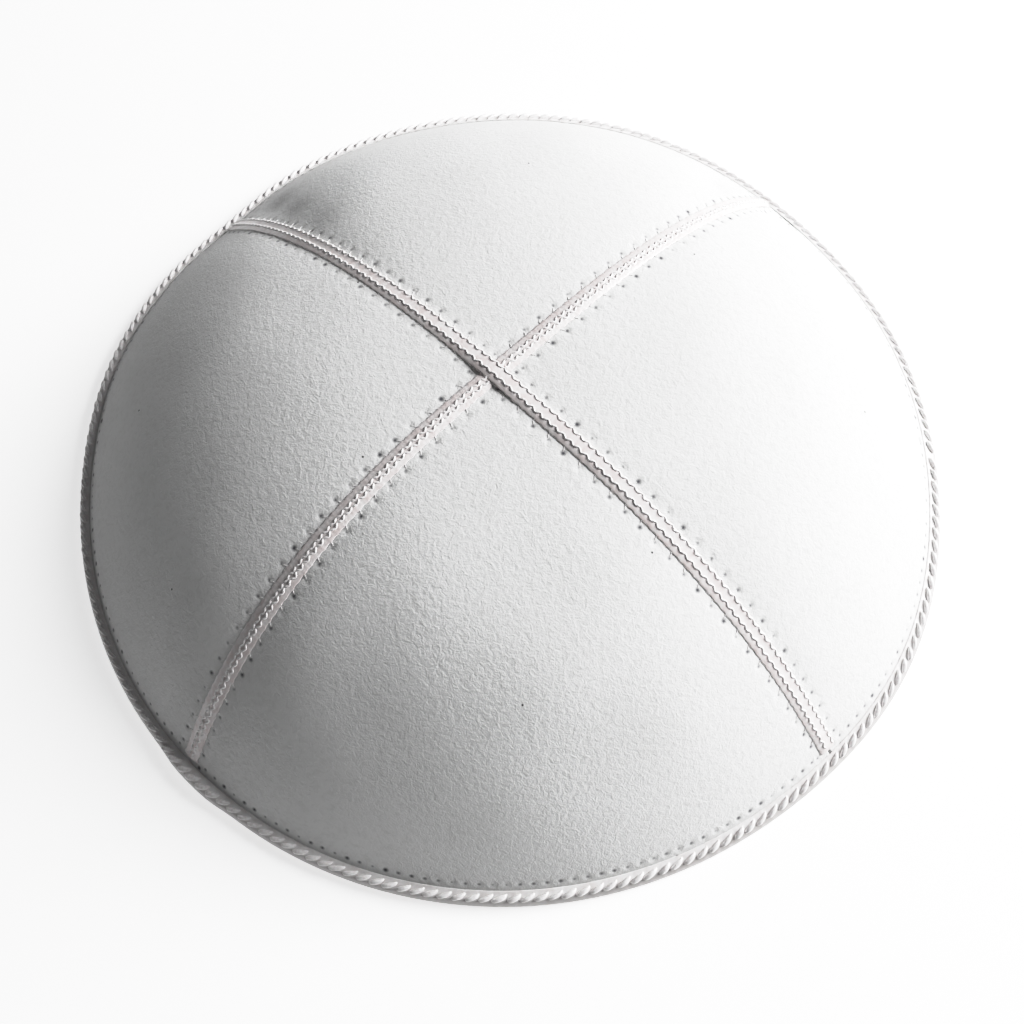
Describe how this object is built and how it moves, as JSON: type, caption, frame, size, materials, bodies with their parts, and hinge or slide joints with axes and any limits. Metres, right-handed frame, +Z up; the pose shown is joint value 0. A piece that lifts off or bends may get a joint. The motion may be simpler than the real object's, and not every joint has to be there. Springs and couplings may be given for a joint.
{
  "type": "kippah skullcap",
  "caption": "Shallow round skullcap of suede panels with satin tape over the seams and a folded satin tape binding its rim.",
  "frame": {"origin": "centre of the rim's footprint, on the surface that the cap rests on", "axes": "+Z up through the crown, -Y towards the front panel, +X towards the right panel as seen from the front"},
  "size_m": [0.1646, 0.1623, 0.0362],
  "materials": {
    "suede": "white suede, matt brushed nap",
    "satin_tape": "white rayon satin tape, oversewn with a zigzag stitch",
    "satin_binding": "white rayon satin tape, folded over the edge and oversewn"
  },
  "bodies": {
    "root": {"panel_front": "suede", "panel_right": "suede", "panel_back": "suede", "panel_left": "suede", "seam_tape_long": "satin_tape", "seam_tape_front_left": "satin_tape", "seam_tape_back_right": "satin_tape", "rim_binding": "satin_binding"}
  },
  "joints": []
}
